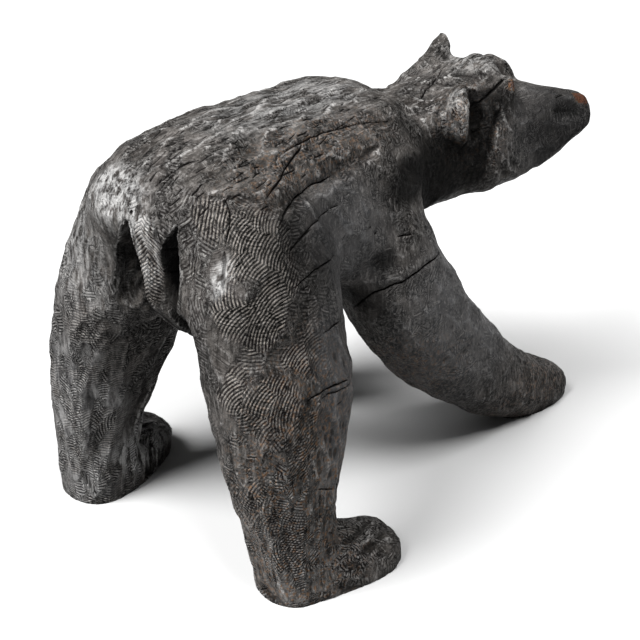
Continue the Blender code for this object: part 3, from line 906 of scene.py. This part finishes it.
def stained_wood():
    """Dark stain, worn grey with painted highlights along the ridges, painted light, sheen and shade in
    chosen places, brown where it is rubbed through, black of painted shade in the cuts.
    """
    made = Nodes(SLOT)
    times, most, spread = made.times, made.most, made.spread
    ridge, rib, crack, count, tone = map(made.attribute, ("ridge", "rib", "crack", "count", "tone"))
    bright, brown, dark, sleek, saw = map(made.attribute, ("bright", "brown", "dark", "sleek", "saw"))
    fibres = grain(made, FIBRE_SIZE, 0.14, 0.12, 0.55)
    bundles = grain(made, BUNDLE_SIZE, 0.22, 0.18, 0.6)
    mottle = made.noise(MOTTLE_SIZE, 4, 0.6)
    speckle = made.noise(SPECKLE_SIZE, 2, 0.6)
    scratch_place = made.together(
        times(count, SCRATCHES_PER_LINE), times(tone, SCRATCH_JUMP), times(mottle, SCRATCH_DRIFT))
    scratches = made.noise(1.0, 2, 0.5, scratch_place)
    lines = made.math("ABSOLUTE", made.math("SINE", times(count, math.pi)))  # 0 on a saw line, 1 between two
    sawn = times(saw, spread(tone, 0.56, 0.50))  # about half of the strokes show their saw lines
    rough_place = made.math("SUBTRACT", 1.0, times(sleek, 0.5))

    # the stain, thicker and thinner, with paler bundles and fibres
    base = made.mix(spread(mottle, 0.38, 0.62), DEEP_STAIN, THIN_STAIN)
    base = made.scaled(base, spread(tone, 0.25, 0.75, 0.30, 2.1))
    base = made.mix(times(spread(bundles, 0.52, 0.68), 0.45), base, BUNDLE_GREY)
    base = made.mix(times(spread(fibres, 0.56, 0.70), 0.4), base, FIBRE_GREY)
    # painted sheen: bluish grey over the sleek places
    base = made.mix(times(sleek, 0.6), base, PAINTED_SHEEN_GREY)
    # worn grey, partly painted highlight, on what stands out; worn grey with painted sheen on the ridges of
    # the sleek places; worn grey on the teeth between saw lines and in scratches; painted highlight where the
    # places are marked as lit
    worn_and_highlight = times(times(spread(ridge, 0.4, 2.0), spread(speckle, 0.38, 0.55)), rough_place)
    base = made.mix(times(worn_and_highlight, 0.85), base, WORN_AND_HIGHLIGHT_GREY)
    # worn grey and painted sheen on the ridges of the sleek places
    base = made.mix(times(times(spread(ridge, 0.15, 0.9), sleek), 0.25), base, RIM_WEAR_AND_SHEEN)
    toothed = times(times(spread(lines, 0.45, 0.95), sawn), spread(speckle, 0.36, 0.52))
    base = made.mix(times(toothed, 0.7), base, SAW_LINE_GREY)
    scored = times(spread(scratches, 0.58, 0.66), spread(speckle, 0.40, 0.52))
    base = made.mix(times(scored, 0.6), base, SCRATCH_GREY)
    # painted highlight on the bundles where the places are marked as lit
    painted_highlight = times(bright, spread(bundles, 0.40, 0.58), clamp=True)
    base = made.mix(times(painted_highlight, 0.7), base, PAINTED_HIGHLIGHT_GREY)
    # painted highlight on the crests of the ribs
    rib_crest_highlight = times(spread(rib, 0.05, -0.30), spread(speckle, 0.30, 0.50))
    base = made.mix(times(rib_crest_highlight, 0.7), base, RIB_CREST_HIGHLIGHT)
    # rubbed through to brown, then the painted shade of the shaded places
    rubbed = times(times(spread(speckle, 0.54, 0.62), brown), 0.8, clamp=True)
    base = made.mix(rubbed, base, RUBBED_BROWN)
    red = times(spread(brown, 1.0, 2.2), spread(speckle, 0.25, 0.5))
    base = made.mix(red, base, RED_BROWN)
    # painted shade: the stain darkened where the places are marked as shaded
    base = made.scaled(base, spread(dark, 0, 1, 1.0, 0.10))

    # black in what lies deep: painted shade in the hollows, saw lines, rib valleys and cracks, and the dark
    # of splits between fibres, pores and scratches
    black_and_shade = times(spread(ridge, -0.3, -1.4), 0.75)
    black_and_shade = most(black_and_shade, times(times(spread(fibres, 0.46, 0.34), rough_place), 0.6))
    black_and_shade = most(black_and_shade, times(times(spread(speckle, 0.42, 0.32), rough_place), 0.45))
    black_and_shade = most(black_and_shade, times(spread(lines, 0.60, 0.15), sawn))
    black_and_shade = most(black_and_shade, times(times(spread(scratches, 0.42, 0.34), rough_place), 0.6))
    black_and_shade = most(black_and_shade, times(spread(rib, -0.08, 0.22), 0.75))
    black_and_shade = most(black_and_shade, spread(crack, 0.08, 0.45))
    made.put(made.shader.inputs["Base Color"], made.mix(times(black_and_shade, 0.96), base, SHADE_AND_SPLIT_BLACK))

    rough = made.math("ADD", spread(speckle, 0.35, 0.65, 0.58, 0.36), times(tone, -0.10))
    rough = made.math("ADD", rough, times(most(black_and_shade, dark), 0.35), clamp=True)
    made.put(made.shader.inputs["Roughness"], rough)
    made.shader.inputs["Specular IOR Level"].default_value = WOOD_SPECULAR

    normal = None
    for height, depth in ((times(speckle, rough_place), 1.8), (times(lines, sawn), 2.2),
                          (times(scratches, rough_place), 1.5), (bundles, 1.6), (fibres, 1.0)):
        normal = made.bump(height, depth * MM, normal)
    made.put(made.shader.inputs["Normal"], normal)
    return made.material


FLOOR_GREY, FLOOR_ROUGHNESS = (0.25, 0.25, 0.25, 1), 0.9  # the strong lights turn it pale


def floor_material():
    made = Nodes("pale_floor")
    made.put(made.shader.inputs["Base Color"], FLOOR_GREY)
    made.put(made.shader.inputs["Roughness"], FLOOR_ROUGHNESS)
    return made.material


# ---------------------------------------------------------------- the scene
FLOOR_HALF = 60  # half the floor's side, in metres
AIM = Vector((-0.11, 0.0, 0.35)) + Vector(SHIFT)  # the point that the camera and the lights aim at
AZIMUTH, ELEVATION, DISTANCE = 220, 30, 2.0  # of the camera, in degrees and metres
LENS, SENSOR_WIDTH = 74.98, 36  # of the camera, in mm
# A wide sun from behind the bear's left, a square light high over its right, and faint light all round
SUN = (158, 50, 14.5, 34)  # azimuth, elevation, strength, width (angles in degrees)
TOP = (245, 70, 4.5, 1.6, 420)  # azimuth, elevation, distance, size, power
WORLD_STRENGTH = 0.14


def add_floor():
    mesh = bpy.data.meshes.new("floor")
    half = FLOOR_HALF
    corners = [(-half, -half, 0), (half, -half, 0), (half, half, 0), (-half, half, 0)]
    mesh.from_pydata(corners, [], [(0, 1, 2, 3)])
    floor = bpy.data.objects.new("floor", mesh)
    bpy.context.scene.collection.objects.link(floor)
    mesh.materials.append(floor_material())


def towards(azimuth, elevation):
    """The direction from the bear to a place at these angles, in degrees."""
    azimuth, elevation = math.radians(azimuth), math.radians(elevation)
    return Vector((math.sin(azimuth) * math.cos(elevation), -math.cos(azimuth) * math.cos(elevation),
                   math.sin(elevation)))


def place(name, data, azimuth, elevation, distance):
    """Puts a camera or a light at these angles round the bear, facing it."""
    thing = bpy.data.objects.new(name, data)
    back = towards(azimuth, elevation)
    thing.location = AIM + back * distance
    thing.rotation_mode = "QUATERNION"
    thing.rotation_quaternion = (-back).to_track_quat("-Z", "Y")
    bpy.context.scene.collection.objects.link(thing)
    return thing


def add_camera():
    data = bpy.data.cameras.new("camera")
    data.lens = LENS
    data.sensor_width = SENSOR_WIDTH
    bpy.context.scene.camera = place("camera", data, AZIMUTH, ELEVATION, DISTANCE)


def add_sun(azimuth, elevation, strength, width):
    data = bpy.data.lights.new("sun", "SUN")
    data.energy = strength
    data.angle = math.radians(width)
    place("sun", data, azimuth, elevation, 0)


def add_top_light(azimuth, elevation, distance, size, power):
    data = bpy.data.lights.new("top", "AREA")
    data.shape = "SQUARE"
    data.size = size
    data.energy = power
    place("top", data, azimuth, elevation, distance)


def add_world():
    world = bpy.data.worlds.new("studio")
    world.use_nodes = True
    background = world.node_tree.nodes["Background"]
    background.inputs["Color"].default_value = (1, 1, 1, 1)
    background.inputs["Strength"].default_value = WORLD_STRENGTH
    bpy.context.scene.world = world


add_camera()
add_world()
add_sun(*SUN)
add_top_light(*TOP)
add_floor()
bpy.context.scene.view_settings.view_transform = "Standard"

bear = carve()
mark_regions(bear.data)
bear.data.materials.append(stained_wood())
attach(bear, "root")
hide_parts(NODE)
